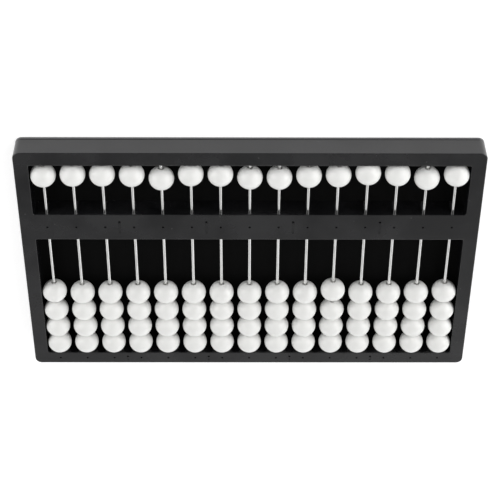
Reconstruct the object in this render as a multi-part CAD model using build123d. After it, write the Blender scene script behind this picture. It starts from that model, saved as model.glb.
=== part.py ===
"""Fifteen-column abacus: a black moulded frame with a back cover, steel rods and round beads.

The abacus lies flat. +Z is up, out of its face. +X runs along its length. +Y points to the upper deck.
The origin is the centre of the underside. All sizes are millimetres.
"""
from build123d import *
import os

# Beads and columns
column_count = 15
lower_bead_count = 4        # beads on each rod below the beam
bead_diameter = 13.1
bead_thickness = 12.0       # along the rod
bead_end_radius = 2.0       # the flat ring at each end of a bead
bore_clearance = 0.35       # radial, between a rod and a bead's bore
bore_chamfer = 0.3
bead_gap = 2.0              # between the beads of neighbouring rods
bead_play = 0.05            # between beads that are pushed together
rail_play = 0.1             # between a pushed stack and its rail

# How the beads lie at rest: the space from each upper bead to its rail, and under each top lower bead
upper_rest_gaps = [1.8, 1.3, 1.2, 1.5, 3.6, 1.0, 1.2, 3.0, 3.1, 1.9, 1.5, 0.2, 0.8, 3.2, 1.1]
lower_rest_gaps = {1: 0.9, 9: 0.15, 11: 1.8, 14: 0.3, 15: 1.0}

# Free length on the rods
upper_travel = 19.3
lower_travel = 33.0
stop_gap = 0.15             # left between a bead and what stops it, at the end of its travel

# Rods
rod_diameter = 1.7
rod_end_depth = 5.0         # how far each end goes into a long rail
rod_end_chamfer = 0.3
rod_fit = 0.05              # radial, between a rod and its slot
rod_to_face = 3.0           # from the rods' axes up to the frame's face
rods_per_group = 3

# Frame
long_rail_width = 7.8
side_rail_width = 7.5
beam_width = 16.3
side_clearance = 0.25       # between an outer bead and its side rail
corner_radius = 3.5         # outer corners, seen from above
window_corner_radius = 1.0
face_edge_radius = 0.5
window_edge_radius = 0.35

# Back cover
back_thickness = 2.0
floor_gap = 3.05            # from the cover's inner face up to the beads
seam_gap = 0.35             # height of the shadow gap that runs round between cover and frame
seam_depth = 0.7            # how far that gap goes in
seam_chamfer = 0.15         # along both lips of the gap
base_edge_radius = 0.5
peg_clearance = 0.1         # beside each peg that keeps a rod in its slot
peg_setback = 0.4           # from a peg's ends to the two ends of its slot

# Recessed marks on the face
dimple_diameter = 1.1
groove_width = 0.9
groove_length = 8.0
short_groove_length = 3.2
mark_depth = 0.25
groove_dot_diameter = 1.3
groove_dot_depth = 0.6
columns_per_group = 3       # a groove follows every third column

# Sizes that follow from these
bead_radius = bead_diameter / 2
rod_radius = rod_diameter / 2
slot_width = rod_diameter + 2 * rod_fit
bore_radius = rod_radius + bore_clearance
pitch = bead_diameter + bead_gap
window_length = (column_count - 1) * pitch + bead_diameter + 2 * side_clearance
upper_deck = bead_thickness + upper_travel
lower_deck = lower_bead_count * bead_thickness + lower_travel
frame_length = window_length + 2 * side_rail_width
frame_depth = 2 * long_rail_width + upper_deck + beam_width + lower_deck
rod_height = back_thickness + floor_gap + bead_radius
frame_height = rod_height + rod_to_face
upper_rail_y = frame_depth / 2 - long_rail_width
beam_top_y = upper_rail_y - upper_deck
beam_bottom_y = beam_top_y - beam_width
lower_rail_y = beam_bottom_y - lower_deck
beam_y = (beam_top_y + beam_bottom_y) / 2
columns = range(1, column_count + 1)


def column_x(column):
    """Where a column's rod stands along the length."""
    return (column - (column_count + 1) / 2) * pitch


def upper_rest_gap(column):
    """Space between a column's upper bead and its rail at rest."""
    return upper_rest_gaps[(column - 1) % len(upper_rest_gaps)]


def lower_rest_gap(column):
    """Extra space under a column's top lower bead at rest."""
    return lower_rest_gaps.get(column, 0.0)


def upper_bead_y(column):
    """Middle of an upper bead at rest."""
    return upper_rail_y - upper_rest_gap(column) - bead_thickness / 2


def lower_bead_y(column, place):
    """Middle of a lower bead at rest. Place 1 is next to the rail."""
    y = lower_rail_y + rail_play + (place - 0.5) * bead_thickness + (place - 1) * bead_play
    if place == lower_bead_count:
        y += lower_rest_gap(column)
    return y


def lower_free_length(column):
    """How far a column's lower beads can move towards the beam."""
    top = lower_bead_y(column, lower_bead_count) + bead_thickness / 2
    return beam_bottom_y - stop_gap - top


def upper_free_length(column):
    """How far an upper bead can move from rest towards the beam, and back to its rail."""
    back = upper_rest_gap(column) - stop_gap
    down = upper_travel - upper_rest_gap(column) - stop_gap
    return down, back


def plate(length, depth, low, high, radius):
    """A block centred on the origin, with rounded corners seen from above."""
    block = Box(length, depth, high - low, align=(Align.CENTER, Align.CENTER, Align.MIN))
    block = Pos(0, 0, low) * block
    return fillet(block.edges().filter_by(Axis.Z), radius)


def bead():
    """One bead about the Y axis: a round side between two small flat ends, with a bore."""
    end = bead_thickness / 2
    mouth = bore_radius + bore_chamfer
    side = ThreePointArc((bead_end_radius, -end), (bead_radius, 0), (bead_end_radius, end))
    inside = Polyline(
        (bead_end_radius, end),
        (mouth, end),
        (bore_radius, end - bore_chamfer),
        (bore_radius, bore_chamfer - end),
        (mouth, -end),
        (bead_end_radius, -end),
    )
    return revolve(make_face([side, *inside.edges()]), Axis.Y)


def placed_bead(column, y):
    """A bead on its rod, with its middle at y."""
    return Pos(column_x(column), y, rod_height) * bead()


def along_y(radius, low_y, high_y):
    """A round bar along Y, with its axis through x = 0, z = 0."""
    bar = Cylinder(radius, high_y - low_y, align=(Align.CENTER, Align.CENTER, Align.MIN))
    return Pos(0, low_y, 0) * Rot(-90, 0, 0) * bar


def rod(column):
    """One steel rod from rail to rail, with both ends chamfered."""
    reach = rod_end_depth - rod_fit
    bar = along_y(rod_radius, lower_rail_y - reach, upper_rail_y + reach)
    bar = chamfer(bar.edges().filter_by(GeomType.CIRCLE), rod_end_chamfer)
    return Pos(column_x(column), 0, rod_height) * bar


def rod_slot(column):
    """What is cut for a rod: a round-topped slot, open to the back, from rail to rail."""
    low_y = lower_rail_y - rod_end_depth
    high_y = upper_rail_y + rod_end_depth
    top = Pos(0, 0, rod_height) * along_y(slot_width / 2, low_y, high_y)
    stem = Pos(0, (low_y + high_y) / 2, rod_height) * Box(
        slot_width, high_y - low_y, rod_height, align=(Align.CENTER, Align.CENTER, Align.MAX)
    )
    return Pos(column_x(column), 0, 0) * (top + stem)


def window(low_y, high_y):
    """What is cut for a deck."""
    return Pos(0, (low_y + high_y) / 2, 0) * plate(
        window_length, high_y - low_y, 0, frame_height, window_corner_radius
    )


def groove(x, y, length):
    """What is cut for a mark between columns: a round-ended groove with a deeper dot at its upper end."""
    line = Pos(x, y, frame_height - mark_depth) * extrude(
        SlotOverall(length, groove_width, rotation=90), mark_depth
    )
    dot_y = y + (length - groove_dot_diameter) / 2
    dot = Pos(x, dot_y, frame_height) * Cylinder(groove_dot_diameter / 2, 2 * groove_dot_depth)
    return [line, dot]


def marks():
    """What is cut for the marks: a dimple at every rod, and a groove after every third column."""
    lower_rail_middle = lower_rail_y - long_rail_width / 2
    cuts = []
    for column in columns:
        for y in (beam_y, lower_rail_middle):
            dimple = Cylinder(dimple_diameter / 2, 2 * mark_depth)
            cuts.append(Pos(column_x(column), y, frame_height) * dimple)
        if column % columns_per_group == 0 and column < column_count:
            x = column_x(column) + pitch / 2
            cuts += groove(x, beam_y, groove_length)
            cuts += groove(x, lower_rail_middle, short_groove_length)
    return cuts


def frame():
    """The moulded frame: rails and beam in one piece, above the back cover."""
    body = plate(frame_length, frame_depth, back_thickness + seam_gap, frame_height, corner_radius)
    face_edges = body.faces().sort_by(Axis.Z)[-1].edges()
    body = fillet(face_edges, face_edge_radius)
    body = chamfer(body.faces().sort_by(Axis.Z)[0].edges(), seam_chamfer)
    body += plate(
        frame_length - 2 * seam_depth,
        frame_depth - 2 * seam_depth,
        back_thickness,
        back_thickness + seam_gap,
        corner_radius - seam_depth,
    )
    body -= window(beam_top_y, upper_rail_y)
    body -= window(lower_rail_y, beam_bottom_y)
    face = body.faces().sort_by(Axis.Z)[-1]
    body = fillet([edge for wire in face.inner_wires() for edge in wire.edges()], window_edge_radius)
    body -= [rod_slot(column) for column in columns]
    return body - marks()


def keeper_peg(column, low_y, high_y):
    """A peg on the back cover that stands in a rod's slot, between low_y and high_y, and keeps the rod up."""
    width = slot_width - 2 * peg_clearance
    length = high_y - low_y - 2 * peg_setback
    height = rod_height - rod_radius - rod_fit - back_thickness
    peg = Box(width, length, height, align=(Align.CENTER, Align.CENTER, Align.MIN))
    return Pos(column_x(column), (low_y + high_y) / 2, back_thickness) * peg


def back_cover():
    """The plate that closes the back, with its pegs."""
    cover = plate(frame_length, frame_depth, 0, back_thickness, corner_radius)
    cover = fillet(cover.faces().sort_by(Axis.Z)[0].edges(), base_edge_radius)
    cover = chamfer(cover.faces().sort_by(Axis.Z)[-1].edges(), seam_chamfer)
    for column in columns:
        cover += keeper_peg(column, upper_rail_y, upper_rail_y + rod_end_depth)
        cover += keeper_peg(column, beam_bottom_y, beam_top_y)
        cover += keeper_peg(column, lower_rail_y - rod_end_depth, lower_rail_y)
    return cover


def write(name, shape):
    """Write one node as a STEP file."""
    export_step(shape, f"parts/{name}.step")


os.makedirs("parts", exist_ok=True)
write("frame", frame())
write("back_cover", back_cover())
for first in range(1, column_count + 1, rods_per_group):
    last = min(first + rods_per_group - 1, column_count)
    write(f"rods_{first:02}_{last:02}", Compound([rod(column) for column in range(first, last + 1)]))
for column in columns:
    stack = [placed_bead(column, lower_bead_y(column, place)) for place in range(1, lower_bead_count)]
    top_y = lower_bead_y(column, lower_bead_count)
    write(f"upper_bead_{column:02}", placed_bead(column, upper_bead_y(column)))
    write(f"lower_top_bead_{column:02}", placed_bead(column, top_y))
    write(f"lower_beads_{column:02}", Compound(stack))
print(f"length {frame_length:.2f}, depth {frame_depth:.2f}, frame height {frame_height:.2f}")
print(f"pitch {pitch:.2f}, rod axes {rod_height:.2f} above the underside")
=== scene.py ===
# %% [markdown]
# # A fifteen-column abacus
# The object is a counting frame of the kind that schools use. A black moulded frame with a beam across it
# holds fifteen steel rods, and five white beads slide on each rod. A plate closes the back.
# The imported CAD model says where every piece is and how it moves, so this script never moves a piece. It
# adds what the CAD model doesn't have: the finish of each surface, the fine shape of the beads, the light and
# the camera.

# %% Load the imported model
import math

import bmesh
import bpy
from mathutils import Matrix, Vector


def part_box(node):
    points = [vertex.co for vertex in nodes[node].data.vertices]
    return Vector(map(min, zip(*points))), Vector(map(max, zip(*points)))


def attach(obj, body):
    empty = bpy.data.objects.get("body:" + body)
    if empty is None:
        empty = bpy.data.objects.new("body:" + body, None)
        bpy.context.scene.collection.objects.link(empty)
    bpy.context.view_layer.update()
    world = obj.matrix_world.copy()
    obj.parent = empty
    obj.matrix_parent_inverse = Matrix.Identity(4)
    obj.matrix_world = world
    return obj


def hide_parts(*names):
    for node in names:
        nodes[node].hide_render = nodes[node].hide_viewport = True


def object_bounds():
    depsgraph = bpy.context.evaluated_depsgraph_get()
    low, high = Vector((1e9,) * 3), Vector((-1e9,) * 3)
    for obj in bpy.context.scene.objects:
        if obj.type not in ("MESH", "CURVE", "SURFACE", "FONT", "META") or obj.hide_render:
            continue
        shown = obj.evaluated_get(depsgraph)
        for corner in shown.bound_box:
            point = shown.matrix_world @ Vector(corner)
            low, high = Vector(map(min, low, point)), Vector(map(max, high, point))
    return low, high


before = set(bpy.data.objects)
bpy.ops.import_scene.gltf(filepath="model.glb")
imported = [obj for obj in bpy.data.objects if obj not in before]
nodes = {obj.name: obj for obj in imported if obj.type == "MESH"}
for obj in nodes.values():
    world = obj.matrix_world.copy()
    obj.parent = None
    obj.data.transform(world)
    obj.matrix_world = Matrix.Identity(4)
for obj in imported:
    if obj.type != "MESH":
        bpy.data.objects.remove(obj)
cad_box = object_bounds()

# %% [markdown]
# ## Units
# Everything in the scene is in metres, but a maker thinks of an abacus in millimetres. One constant turns
# millimetres into metres. A second small function turns the size of a pattern's cells into the scale that
# Blender's textures want, which is cells per metre.

# %% Millimetres and pattern sizes
MM = 0.001


def cells(size_mm):
    """The texture scale that gives cells of this size."""
    return 1.0 / (size_mm * MM)


low, high = cad_box
print("object, mm:", [round(side / MM, 2) for side in high - low])

# %% [markdown]
# ## Colours
# Paint and plastic colours are easiest to name as sRGB hex values, as on a colour card. The shaders want
# linear light, so one function turns the one into the other, and no colour is typed as a linear number.


# %% Hex colours to linear light
def linear(hex_colour):
    """An sRGB hex colour such as #1a1a1b as linear red, green, blue and alpha."""
    channels = [int(hex_colour[i : i + 2], 16) / 255 for i in (1, 3, 5)]
    values = [c / 12.92 if c <= 0.04045 else ((c + 0.055) / 1.055) ** 2.4 for c in channels]
    return (*values, 1.0)


print("mid grey #808080 is linear", round(linear("#808080")[0], 3))

# %% [markdown]
# ## Building shaders
# A material is a small network of nodes. Building one by hand takes many clicks, and in code many lines.
# One function that adds a node, sets its settings and fills its inputs keeps each material short enough to
# read. An input is either a plain value or the output of a node that was made before it.
# Most sockets go by their name. Where a node has several of the same name, such as the numbers that a Math
# node works on, they go by their place in its list, and the Mix node's three such places get names here.

# %% One function that adds a node
COLOUR_A = 6
COLOUR_B = 7
MIXED_COLOUR = 2


def add(tree, kind, inputs=None, **settings):
    """Add a shader node. Inputs are values, or the output sockets that feed them."""
    node = tree.nodes.new("ShaderNode" + kind)
    for name, value in settings.items():
        setattr(node, name, value)
    for name, value in (inputs or {}).items():
        if isinstance(value, bpy.types.NodeSocket):
            tree.links.new(value, node.inputs[name])
        else:
            node.inputs[name].default_value = value
    return node


def new_material(name):
    """An empty node material and its node tree."""
    material = bpy.data.materials.new(name)
    material.use_nodes = True
    material.node_tree.nodes.clear()
    return material, material.node_tree


def surface(tree, shader):
    """Make a shader the surface of its material."""
    add(tree, "OutputMaterial", {"Surface": shader.outputs["BSDF"]})


# %% [markdown]
# ## Camera
# The view looks down on the abacus from well above, and a little from the upper deck's side. A long lens
# from about 0.8 m keeps the rods nearly parallel.
# The camera could be placed by typing a location and three angles, but then nothing says what it looks at.
# Here it starts from the point it looks at, and goes back along its own axis by its distance.

# %% The camera
LENS_MM = 107.5
SENSOR_MM = 36.0
CAMERA_DISTANCE = 790 * MM
CAMERA_TILT = math.radians(39.0)  # away from straight down
CAMERA_TURN = math.radians(0.50)  # about the vertical
CAMERA_ROLL = math.radians(-0.335)
AIM_ACROSS = 0.2 * MM  # from the middle of the abacus, on the frame's face
AIM_UP = 9.7 * MM  # towards the upper deck

face_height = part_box("frame")[1].z
looks_at = Vector((AIM_ACROSS, AIM_UP, face_height))

turned = Matrix.Rotation(CAMERA_TURN, 3, "Z") @ Matrix.Rotation(-CAMERA_TILT, 3, "X")
turned = turned @ Matrix.Rotation(CAMERA_ROLL, 3, "Z")
back = turned @ Vector((0, 0, 1))

lens = bpy.data.cameras.new("camera")
lens.lens = LENS_MM
lens.sensor_width = SENSOR_MM
camera = bpy.data.objects.new("camera", lens)
camera.matrix_world = Matrix.Translation(looks_at + back * CAMERA_DISTANCE) @ turned.to_4x4()
bpy.context.scene.collection.objects.link(camera)
bpy.context.scene.camera = camera
bpy.context.scene.view_settings.view_transform = "Standard"
print("camera at, mm:", [round(c / MM, 1) for c in camera.matrix_world.translation])

# %% [markdown]
# ## The room
# The room is white along its walls, greyer overhead, and dark on the near side, where the person stands. Its
# far wall is the brightest, which lights the far side of every bead. That matters for black plastic too,
# because most of what the eye sees on it is the room, mirrored. A bright ceiling would turn the frame grey,
# and the dark near side is what draws a thin dark line along the frame's rounded upper edge.
# A picture of a studio could light the scene, but four gradients do it with a few nodes, multiplied together.
# One goes by height, from the walls up to the ceiling. Two go by depth, for the near and the far side, and
# one goes from left to right.

# %% The room
WALLS = 0.95
CEILING = 0.22
CEILING_FROM = math.sin(math.radians(38))  # heights are sines of the angle above the horizon
CEILING_TO = math.sin(math.radians(56))
NEAR_SIDE = 0.12
NEAR_FROM = 0.20  # depths run from -1, straight away, to 1, straight towards the person
NEAR_TO = 0.65
FAR_SIDE = 1.7
FAR_FROM = -0.75
FAR_TO = -0.94
LEFT_SIDE = 0.92
RIGHT_SIDE = 1.22
SIDE_BLEND = 0.3  # how far to each side of the middle the change from left to right goes on

world = bpy.data.worlds.new("white_room")
world.use_nodes = True
world.node_tree.nodes.clear()
sky = world.node_tree
direction = add(sky, "TexCoord").outputs["Generated"]
part_of = add(sky, "SeparateXYZ", {"Vector": direction}).outputs
gradients = [
    ("Z", CEILING_FROM, CEILING_TO, WALLS, CEILING),
    ("Y", NEAR_FROM, NEAR_TO, 1.0, NEAR_SIDE),
    ("Y", FAR_TO, FAR_FROM, FAR_SIDE, 1.0),
    ("X", -SIDE_BLEND, SIDE_BLEND, LEFT_SIDE, RIGHT_SIDE),
]
strength = 1.0
for axis, begins, ends, before, after in gradients:
    gradient = add(
        sky,
        "MapRange",
        {"Value": part_of[axis], "From Min": begins, "From Max": ends, "To Min": before, "To Max": after},
        interpolation_type="SMOOTHSTEP",
    ).outputs["Result"]
    strength = add(sky, "Math", {0: strength, 1: gradient}, operation="MULTIPLY").outputs["Value"]
room = add(sky, "Background", {"Color": linear("#ffffff"), "Strength": strength})
add(sky, "OutputWorld", {"Surface": room.outputs["Background"]})
bpy.context.scene.world = world
print("gradients in the room:", [axis for axis, *_ in gradients])

# %% [markdown]
# ## Soft boxes
# Two large soft boxes stand low at the left and the right. Each draws one soft highlight on every bead and
# every rod, and the right one is a little stronger, which gives the beads their shape. A third one, wide and
# dim, hangs over the table and fills the shade between the beads.
# Small lamps would give hard glints and shadows instead, because a highlight is a mirrored lamp.


# %% The soft boxes
def soft_box(name, place, side, watts):
    """A square soft light that faces the abacus. Its place and side are in metres."""
    lamp = bpy.data.lights.new(name, "AREA")
    lamp.shape = "SQUARE"
    lamp.size = side
    lamp.energy = watts
    box = bpy.data.objects.new(name, lamp)
    box.location = place
    box.rotation_mode = "QUATERNION"
    box.rotation_quaternion = (Vector(place) - looks_at).to_track_quat("Z", "Y")
    bpy.context.scene.collection.objects.link(box)


soft_box("soft_box_left", (-1.10, 0.62, 0.50), side=1.1, watts=10.2)
soft_box("soft_box_right", (1.10, 0.62, 0.50), side=1.1, watts=12.9)
soft_box("soft_box_above", (0.0, 0.25, 1.9), side=2.4, watts=5.0)

# %% [markdown]
# ## Table top
# A light table is a sheet of milky acrylic, lit from below, so that things laid on it cast almost no shadow.
# It could be lit by lamps under a glass sheet, but a glow in the sheet's own surface does the same. The
# sheet is a little greyer than paper, and the glow makes up for it: a shadow takes away only the light from
# above, so the more of the white comes from the glow, the weaker the shadow.
# It is far larger than the view, so that no edge of it shows, and it lies a hair under the abacus, so that
# two faces never share one plane.

# %% The table top
TABLE_SIDE = 12.0
TABLE_DROP = 0.05 * MM
TABLE_GLOW = 0.60
CLOUD_MM = 60.0  # casting leaves faint clouds in the sheet


def milky_acrylic():
    """Milky cast acrylic, lit from below: white, even and faintly glossy."""
    material, tree = new_material("milky_acrylic")
    place = add(tree, "TexCoord").outputs["Object"]
    cloud = add(tree, "TexNoise", {"Vector": place, "Scale": cells(CLOUD_MM)}).outputs["Fac"]
    tone = add(
        tree,
        "Mix",
        {"Factor": cloud, COLOUR_A: linear("#cdcdcd"), COLOUR_B: linear("#d3d3d3")},
        data_type="RGBA",
    ).outputs[MIXED_COLOUR]
    shader = add(
        tree,
        "BsdfPrincipled",
        {
            "Base Color": tone,
            "Roughness": 0.55,
            "IOR": 1.49,
            "Emission Color": linear("#ffffff"),
            "Emission Strength": TABLE_GLOW,
        },
    )
    surface(tree, shader)
    return material


half = TABLE_SIDE / 2
table_mesh = bpy.data.meshes.new("table_top")
corners = [(x * half, y * half, low.z - TABLE_DROP) for x, y in ((-1, -1), (1, -1), (1, 1), (-1, 1))]
table_mesh.from_pydata(corners, [], [(0, 1, 2, 3)])
table_top = bpy.data.objects.new("table_top", table_mesh)
table_top.data.materials.append(milky_acrylic())
bpy.context.scene.collection.objects.link(table_top)
print("table top at, mm:", round((low.z - TABLE_DROP) / MM, 3))

# %% [markdown]
# ## Worn edges
# Hands polish the edges of a plastic part before its faces. A mask of the edges could be painted, but that
# needs the mesh laid out flat first. The Bevel node needs nothing: it gives the direction that a surface
# would face if its edges were rounded, so where that differs from the real direction there is an edge, on
# any shape. A coarse noise then breaks the mask up into patches, because no edge wears evenly.

# %% A mask of the edges
EDGE_MM = 0.4
EDGE_FROM = 0.995  # the cosine of the angle between the two directions, where an edge begins
EDGE_TO = 0.90
LEAST_WORN = 0.3


def worn_edges(tree, patches):
    """A mask that is 1 on edges and 0 on flat faces, broken up by patches."""
    rounded = add(tree, "Bevel", {"Radius": EDGE_MM * MM}, samples=6).outputs["Normal"]
    flat = add(tree, "NewGeometry").outputs["Normal"]
    alike = add(tree, "VectorMath", {0: rounded, 1: flat}, operation="DOT_PRODUCT").outputs["Value"]
    edge = add(
        tree, "MapRange", {"Value": alike, "From Min": EDGE_FROM, "From Max": EDGE_TO}
    ).outputs["Result"]
    worn = add(
        tree, "MapRange", {"Value": patches, "From Min": 0.35, "From Max": 0.65, "To Min": LEAST_WORN}
    ).outputs["Result"]
    return add(tree, "Math", {0: edge, 1: worn}, operation="MULTIPLY").outputs["Value"]


print("an edge's mask is wide, mm:", EDGE_MM)

# %% [markdown]
# ## Dust
# A few specks of dust stay in the grain of the plastic. Thousands of tiny objects could be scattered on it,
# but a Voronoi pattern gives the same with a few nodes: the middle of each cell is a speck, and a random
# number that belongs to the cell decides whether it shows.

# %% A mask of the dust
DUST_MM = 5.0
DUST_SPECK = 0.035  # a speck's radius as a share of its cell, so specks are a third of a millimetre across
CLEAN_CELLS = 0.6  # the share of the cells that have no speck


def dust(tree, place):
    """A mask of a few tiny specks: the middles of some of the cells of a Voronoi pattern."""
    spots = add(tree, "TexVoronoi", {"Vector": place, "Scale": cells(DUST_MM)}).outputs
    near = add(tree, "Math", {0: spots["Distance"], 1: DUST_SPECK}, operation="LESS_THAN").outputs["Value"]
    draw = add(tree, "SeparateColor", {"Color": spots["Color"]}).outputs["Red"]
    chosen = add(tree, "Math", {0: draw, 1: CLEAN_CELLS}, operation="GREATER_THAN").outputs["Value"]
    return add(tree, "Math", {0: near, 1: chosen}, operation="MULTIPLY").outputs["Value"]


print("a speck of dust, mm across:", round(2 * DUST_SPECK * DUST_MM, 2))

# %% [markdown]
# ## Black ABS
# The frame and the back cover are moulded in black ABS. The mould was spark-eroded to a fine grain, which
# leaves the plastic satin: it mirrors the room, but blurred. Handling polishes the edges and turns them very
# slightly lighter. It leaves a thin film on the faces, in patches, and some dust stays in the grain.
# The grain could be modelled, but its cells are a tenth of a millimetre, so a bump does it. At that size it
# would be lost between the dots of a picture, so it is drawn at half a millimetre.
# The colour is built up as the real one is: plastic first, then the film, the worn edges and the dust, each
# laid over the last by its own mask.

# %% The finish of the moulded parts
GRAIN_MM = 0.5
HANDLING_MM = 22.0
FILM = 0.12  # how much of the colour the thickest film of hand grease covers
FILM_FROM = 0.40  # the patches' values where the film begins, and where it is thickest
FILM_TO = 0.62
NOISE_LOW = 0.3  # most of a noise texture's values lie between these two
NOISE_HIGH = 0.7
SPREAD = 0.05  # how far the roughness goes up and down with the patches
EDGE_POLISH = 0.10  # how much smoother the worn edges are


def black_abs(name, dark, light, roughness, grain_depth):
    """Black moulded ABS: grained, with edges that handling has polished, and a little dust."""
    material, tree = new_material(name)
    place = add(tree, "TexCoord").outputs["Object"]
    grain = add(tree, "TexNoise", {"Vector": place, "Scale": cells(GRAIN_MM), "Detail": 3.0}).outputs["Fac"]
    patches = add(
        tree, "TexNoise", {"Vector": place, "Scale": cells(HANDLING_MM), "Detail": 5.0}
    ).outputs["Fac"]
    film = add(
        tree, "MapRange", {"Value": patches, "From Min": FILM_FROM, "From Max": FILM_TO, "To Max": FILM}
    ).outputs["Result"]
    edges = worn_edges(tree, patches)
    layers = [(grain, light), (film, "#3c3c3e"), (edges, "#19191b"), (dust(tree, place), "#6f6f6d")]
    tone = linear(dark)
    for mask, colour in layers:
        tone = add(
            tree, "Mix", {"Factor": mask, COLOUR_A: tone, COLOUR_B: linear(colour)}, data_type="RGBA"
        ).outputs[MIXED_COLOUR]
    satin = add(
        tree,
        "MapRange",
        {
            "Value": patches,
            "From Min": NOISE_LOW,
            "From Max": NOISE_HIGH,
            "To Min": roughness - SPREAD,
            "To Max": roughness + SPREAD,
        },
    ).outputs["Result"]
    polished = add(
        tree, "Math", {0: edges, 1: -EDGE_POLISH, 2: satin}, operation="MULTIPLY_ADD"
    ).outputs["Value"]
    bumps = add(tree, "Bump", {"Strength": 0.6, "Distance": grain_depth * MM, "Height": grain})
    shader = add(
        tree,
        "BsdfPrincipled",
        {"Base Color": tone, "Roughness": polished, "IOR": 1.54, "Normal": bumps.outputs["Normal"]},
    )
    surface(tree, shader)
    return material


satin_abs = black_abs("black_abs_satin", "#080809", "#171719", roughness=0.26, grain_depth=0.05)
polished_abs = black_abs("black_abs_polished", "#080809", "#171719", roughness=0.11, grain_depth=0.005)
# The cover's smooth black is lighter than the frame's: painted light, standing in for the table's light
# mirrored along its edge.
smooth_painted_light_abs = black_abs("black_abs_smooth_painted_light", "#343436", "#3e3e40", roughness=0.24, grain_depth=0.01)
print("finishes:", [material.name for material in (satin_abs, polished_abs, smooth_painted_light_abs)])

# %% [markdown]
# ## The inside of the back cover
# Under the rods the cover is dead matt and much blacker than the frame, so that the white beads stand out.
# A coarse, steep grain does that: light that goes in is caught between its tips and doesn't come back.
# A steep grain can't be shown by bump alone, because a bump never hides light. So the finish keeps a fine
# bump for its texture, and turns the shader's mirror down, which is what the trapped light amounts to.

# %% The matt finish inside
STEEP_GRAIN_MM = 0.6  # drawn coarser than the real quarter of a millimetre, so that it shows
STEEP_GRAIN_DEPTH_MM = 0.05
MATT_CLOUD_MM = 9.0


def dead_matt_and_shade_abs():
    """Black ABS with a steep grain that swallows the light; on the frame's dimple floors it is painted shade.
    """
    material, tree = new_material("black_abs_dead_matt_and_painted_shade")
    place = add(tree, "TexCoord").outputs["Object"]
    grain = add(
        tree, "TexNoise", {"Vector": place, "Scale": cells(STEEP_GRAIN_MM), "Detail": 4.0}
    ).outputs["Fac"]
    clouds = add(
        tree, "TexNoise", {"Vector": place, "Scale": cells(MATT_CLOUD_MM), "Detail": 4.0}
    ).outputs["Fac"]
    tone = linear("#0a0a0a")
    for mask, colour in ((grain, "#131313"), (clouds, "#0f0f0f")):
        tone = add(
            tree, "Mix", {"Factor": mask, COLOUR_A: tone, COLOUR_B: linear(colour)}, data_type="RGBA"
        ).outputs[MIXED_COLOUR]
    bumps = add(tree, "Bump", {"Strength": 0.8, "Distance": STEEP_GRAIN_DEPTH_MM * MM, "Height": grain})
    shader = add(
        tree,
        "BsdfPrincipled",
        {
            "Base Color": tone,
            "Roughness": 0.9,
            "IOR": 1.54,
            "Specular IOR Level": 0.04,
            "Normal": bumps.outputs["Normal"],
        },
    )
    surface(tree, shader)
    return material


matt_and_shade_abs = dead_matt_and_shade_abs()
print("finish:", matt_and_shade_abs.name)

# %% [markdown]
# ## Dressing the CAD parts
# The moulded parts and the rods have the right shape already, so they keep their CAD meshes and only get a
# finish. The frame has three. Its face is satin. Its upright walls, outside and in the windows, are polished
# so that it slides out of the mould. The floors of its dimples and of the grooves' deep dots get the dead
# matt black as painted shade, which darkens these small hollows.
# The cover is matt where it looks up into the decks, and smooth elsewhere. Its smooth black is lighter
# than the frame's as painted light, standing in for the table's light mirrored along its edge.
# A mask in one large shader could choose between them, but a mesh can hold several materials, and each of
# its faces keeps the number of the one it uses. That is simpler, and every face gets exactly one finish.


# %% Dress the frame
def dress(node, slot, *materials):
    """Give a CAD node its materials. The argument slot is not used."""
    part = nodes[node]
    part.data.materials.clear()
    for material in materials:
        part.data.materials.append(material)
    return part


LEVEL = 0.99  # a face is level when its normal's height is above this
UPRIGHT = 0.10  # and upright when it is under this
DIMPLE_MIN = 0.1 * MM  # how far below the frame's face the floor of a dimple lies, at least
DOT_MIN = 0.4 * MM  # and the floor of a groove's deep dot
MARK_MAX = 1.0 * MM  # no mark goes deeper
ON_A_ROD = 0.1  # of the pitch between two rods
SATIN, POLISHED, PAINTED_SHADE = range(3)
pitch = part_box("upper_bead_02")[0].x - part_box("upper_bead_01")[0].x

moulding = dress("frame", "frame_plastic", satin_abs, polished_abs, matt_and_shade_abs)
for face in moulding.data.polygons:
    depth = face_height - face.center.z
    columns_away = abs(face.center.x / pitch - round(face.center.x / pitch))
    in_dimple = columns_away < ON_A_ROD and DIMPLE_MIN < depth < MARK_MAX
    in_dot = DOT_MIN < depth < MARK_MAX
    if abs(face.normal.z) < UPRIGHT and depth > MARK_MAX:
        face.material_index = POLISHED
    # The floors of the dimples and dots get the dead matt black as painted shade, darkening these small
    # hollows.
    elif face.normal.z > LEVEL and (in_dimple or in_dot):
        face.material_index = PAINTED_SHADE
counts = [sum(face.material_index == i for face in moulding.data.polygons) for i in (SATIN, POLISHED, PAINTED_SHADE)]
print("frame faces, satin, polished and matt:", counts)

# %% Dress the cover
cover = dress("back_cover", "frame_plastic", smooth_painted_light_abs, matt_and_shade_abs)
for face in cover.data.polygons:
    face.material_index = int(face.normal.z > LEVEL)
matt_faces = sum(face.material_index for face in cover.data.polygons)
print("cover faces:", len(cover.data.polygons), "matt:", matt_faces)

# %% [markdown]
# ## Drawn steel rods
# The rods are bare steel wire. A drawing die leaves fine lines along the wire, so its reflections smear
# across it and stay sharp along it. An anisotropic shader does that smear, but it needs a tangent on every
# mesh. Noise that is stretched along the wire, in the colour, the roughness and the bump, gives the same
# lines and works on any mesh. The rods run along Y, so that is the axis to stretch.

# %% The finish of the rods
DIE_LINE_MM = 0.22  # coarser than real die lines, so that a few show across a rod
DIE_LINE_STRETCH = 0.006  # how far the pattern is drawn out along the rod
STAIN_MM = 7.0
STAIN = 0.5  # how much of the colour the darkest stain covers
SMOOTHEST_WIRE = 0.12
ROUGHEST_WIRE = 0.22
DIE_LINE_DEPTH_MM = 0.01


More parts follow.
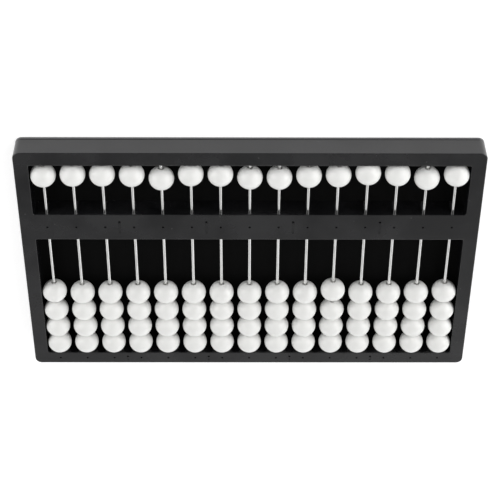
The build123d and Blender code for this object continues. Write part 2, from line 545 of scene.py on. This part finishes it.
def drawn_steel():
    """Bare steel wire, with die lines along its length and slightly duller stretches."""
    material, tree = new_material("drawn_steel_wire")
    place = add(tree, "TexCoord").outputs["Object"]
    drawn_out = add(
        tree, "Mapping", {"Vector": place, "Scale": (1.0, DIE_LINE_STRETCH, 1.0)}
    ).outputs["Vector"]
    lines = add(
        tree, "TexNoise", {"Vector": drawn_out, "Scale": cells(DIE_LINE_MM), "Detail": 3.0}
    ).outputs["Fac"]
    stains = add(
        tree, "TexNoise", {"Vector": place, "Scale": cells(STAIN_MM), "Detail": 4.0}
    ).outputs["Fac"]
    dull = add(
        tree, "MapRange", {"Value": stains, "From Min": 0.5, "From Max": 0.8, "To Max": STAIN}
    ).outputs["Result"]
    tone = linear("#e4e4e3")
    for mask, colour in ((lines, "#fafaf9"), (dull, "#cfcecc")):
        tone = add(
            tree, "Mix", {"Factor": mask, COLOUR_A: tone, COLOUR_B: linear(colour)}, data_type="RGBA"
        ).outputs[MIXED_COLOUR]
    shine = add(
        tree,
        "MapRange",
        {
            "Value": lines,
            "From Min": NOISE_LOW,
            "From Max": NOISE_HIGH,
            "To Min": SMOOTHEST_WIRE,
            "To Max": ROUGHEST_WIRE,
        },
    ).outputs["Result"]
    bumps = add(tree, "Bump", {"Strength": 0.35, "Distance": DIE_LINE_DEPTH_MM * MM, "Height": lines})
    shader = add(
        tree,
        "BsdfPrincipled",
        {"Base Color": tone, "Metallic": 1.0, "Roughness": shine, "Normal": bumps.outputs["Normal"]},
    )
    surface(tree, shader)
    return material


steel = drawn_steel()
rod_nodes = sorted(node for node in nodes if node.startswith("rods_"))
for node in rod_nodes:
    dress(node, "rod_steel", steel)
print("rod nodes:", rod_nodes)

# %% [markdown]
# ## White polystyrene beads
# The beads are moulded in white polystyrene. It is glossy, and light goes a little way into it, which
# softens the shade between two beads and lets the bore look grey instead of black. Sliding on steel leaves
# a faint grey around the bore.
# Many beads share one mesh, so a pattern would repeat on each of them. The Object Info node gives every
# object a random number of its own, and adding it to the pattern's place makes each bead a little
# different.

# %% The finish of the beads
MOTTLE_MM = 4.0
FLOW_MM = 1.6  # the faint waves that the plastic leaves as it flows into the mould
FLOW_DEPTH_MM = 0.01
GLOSSIEST_BEAD = 0.34  # the roughness, which follows the mottle
DULLEST_BEAD = 0.42
LIGHT_REACH_MM = 2.2  # how far light goes into the plastic
RUBBED_MM = 1.9  # how far from the rod's axis the grey reaches
BORE_MM = 1.2  # the bore's radius, where the grey is at its strongest
RUBBED = 0.55


def white_polystyrene():
    """White moulded polystyrene: glossy and slightly translucent, and rubbed grey around the bore."""
    material, tree = new_material("white_polystyrene")
    place = add(tree, "TexCoord").outputs["Object"]
    own = add(tree, "ObjectInfo").outputs["Random"]
    shifted = add(tree, "VectorMath", {0: place, 1: own}, operation="ADD").outputs["Vector"]
    mottle = add(
        tree, "TexNoise", {"Vector": shifted, "Scale": cells(MOTTLE_MM), "Detail": 4.0}
    ).outputs["Fac"]
    flow = add(
        tree, "TexNoise", {"Vector": shifted, "Scale": cells(FLOW_MM), "Detail": 2.0}
    ).outputs["Fac"]
    from_axis = add(
        tree, "VectorMath", {0: place, 1: (1.0, 0.0, 1.0)}, operation="MULTIPLY"
    ).outputs["Vector"]
    distance = add(tree, "VectorMath", {0: from_axis}, operation="LENGTH").outputs["Value"]
    rubbed = add(
        tree,
        "MapRange",
        {"Value": distance, "From Min": RUBBED_MM * MM, "From Max": BORE_MM * MM, "To Max": RUBBED},
    ).outputs["Result"]
    tone = linear("#e5e5e3")
    for mask, colour in ((mottle, "#eaeae8"), (rubbed, "#b9b9b6")):
        tone = add(
            tree, "Mix", {"Factor": mask, COLOUR_A: tone, COLOUR_B: linear(colour)}, data_type="RGBA"
        ).outputs[MIXED_COLOUR]
    gloss = add(
        tree,
        "MapRange",
        {
            "Value": mottle,
            "From Min": NOISE_LOW,
            "From Max": NOISE_HIGH,
            "To Min": GLOSSIEST_BEAD,
            "To Max": DULLEST_BEAD,
        },
    ).outputs["Result"]
    bumps = add(tree, "Bump", {"Strength": 0.3, "Distance": FLOW_DEPTH_MM * MM, "Height": flow})
    shader = add(
        tree,
        "BsdfPrincipled",
        {
            "Base Color": tone,
            "Roughness": gloss,
            "IOR": 1.59,
            "Subsurface Weight": 0.8,
            "Subsurface Radius": (1.0, 1.0, 1.0),
            "Subsurface Scale": LIGHT_REACH_MM * MM,
            "Normal": bumps.outputs["Normal"],
        },
    )
    surface(tree, shader)
    return material


polystyrene = white_polystyrene()
print("finish:", polystyrene.name)

# %% [markdown]
# ## The shape of a bead
# A bead is a turned shape: a round side between two small flat ends, and a bore with rounded lips. The CAD
# bead has the right size, but its bore has a sharp chamfer, and it lacks the fine line where the two halves
# of the mould met. A sphere with a hole cut in it would leave ragged faces round the hole. Spinning a
# profile about the rod's axis gives clean rings of faces that follow the shape, like turning on a lathe.
# The profile's size comes from the CAD bead, so the new bead fills the same space.

# %% Sizes of a bead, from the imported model
END_RADIUS = 2.0 * MM  # outer edge of the flat end
BORE_RADIUS = BORE_MM * MM
LIP_RADIUS = 0.35 * MM
PARTING_WIDTH = 0.12 * MM
PARTING_DEPTH = 0.025 * MM
STACK_COUNT = 3

bead_low, bead_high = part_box("upper_bead_01")
bead_radius = (bead_high.z - bead_low.z) / 2
bead_half = (bead_high.y - bead_low.y) / 2
stack_low, stack_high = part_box("lower_beads_01")
stack_pitch = ((stack_high.y - stack_low.y) / 2 - bead_half) * 2 / (STACK_COUNT - 1)
print("bead, mm:", round(2 * bead_radius / MM, 2), "x", round(2 * bead_half / MM, 2))
print("pitch in a stack, mm:", round(stack_pitch / MM, 3))

# %% [markdown]
# ## Half a profile
# The two halves of a bead are alike, so only half of its profile is worked out, from the parting line in the
# middle of the side, over the end and its lip, to the middle of the bore. The side is one arc through the
# bead's widest point and the rim of its flat end, and that fixes the arc's centre and radius.
# Each point is a distance from the rod's axis and a place along it.

# %% The profile of half a bead
SIDE_STEPS = 14
LIP_STEPS = 5


def half_profile():
    """The points from the middle of the side to the middle of the bore."""
    centre = (bead_radius**2 - END_RADIUS**2 - bead_half**2) / (2 * (bead_radius - END_RADIUS))
    side_radius = bead_radius - centre
    last = math.atan2(bead_half, END_RADIUS - centre)
    first = PARTING_WIDTH / 2 / side_radius
    points = [(bead_radius - PARTING_DEPTH, 0.0)]
    for step in range(SIDE_STEPS + 1):
        angle = first + (last - first) * step / SIDE_STEPS
        points.append((centre + side_radius * math.cos(angle), side_radius * math.sin(angle)))
    for step in range(LIP_STEPS + 1):
        angle = math.pi / 2 * (1 + step / LIP_STEPS)
        across = BORE_RADIUS + LIP_RADIUS * (1 + math.cos(angle))
        along = bead_half - LIP_RADIUS * (1 - math.sin(angle))
        points.append((across, along))
    points.append((BORE_RADIUS, 0.0))
    return points


print("points in half a profile:", len(half_profile()))

# %% [markdown]
# ## Spinning the beads
# Blender's spin goes round the axis in steps and joins each step to the last. Where it ends it merges with
# its start, so the mesh is closed and has no seam. Three beads of a stack always move together, so they
# share one mesh, as they share one body in the CAD model.

# %% Spin the profile into meshes
ROUND_STEPS = 56
WELD = 0.001 * MM


def turned_bead(shape, middle):
    """Spin the profile about the Y axis, into a bmesh, with the bead's middle at this place along Y."""
    half_points = half_profile()
    mirrored = [(r, -y) for r, y in reversed(half_points[1:-1])]
    ring = [shape.verts.new((r, middle + y, 0.0)) for r, y in half_points + mirrored]
    loop = [shape.edges.new((ring[i - 1], ring[i])) for i in range(len(ring))]
    bmesh.ops.spin(
        shape,
        geom=ring + loop,
        cent=(0, 0, 0),
        axis=(0, 1, 0),
        angle=math.tau,
        steps=ROUND_STEPS,
        use_merge=True,
    )


def bead_mesh(name, middles):
    """One mesh that holds a bead at each of these places along the rod."""
    shape = bmesh.new()
    for middle in middles:
        turned_bead(shape, middle)
    bmesh.ops.remove_doubles(shape, verts=shape.verts, dist=WELD)
    bmesh.ops.recalc_face_normals(shape, faces=shape.faces)
    for face in shape.faces:
        face.smooth = True
    mesh = bpy.data.meshes.new(name)
    shape.to_mesh(mesh)
    shape.free()
    mesh.materials.append(polystyrene)
    return mesh


one_bead = bead_mesh("one_bead", [0.0])
stack_middles = [stack_pitch * (i - (STACK_COUNT - 1) / 2) for i in range(STACK_COUNT)]
three_beads = bead_mesh("three_beads", stack_middles)
print("faces in a bead:", len(one_bead.polygons), "in a stack:", len(three_beads.polygons))

# %% [markdown]
# ## Threading the beads
# Each new bead goes where its CAD bead lies, with its bore on the rod, and moves with the same body. All the
# pieces share the two meshes, so a change to the profile shows on all seventy-five beads.

# %% Put a bead in the place of each CAD bead
bead_nodes = sorted(node for node in nodes if "bead" in node)
for node in bead_nodes:
    node_low, node_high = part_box(node)
    mesh = three_beads if node.startswith("lower_beads") else one_bead
    bead = bpy.data.objects.new(node.replace("bead", "white_bead"), mesh)
    bead.location = (node_low + node_high) / 2
    bpy.context.scene.collection.objects.link(bead)
    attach(bead, node)
    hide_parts(node)
print("bead pieces:", len(bead_nodes))
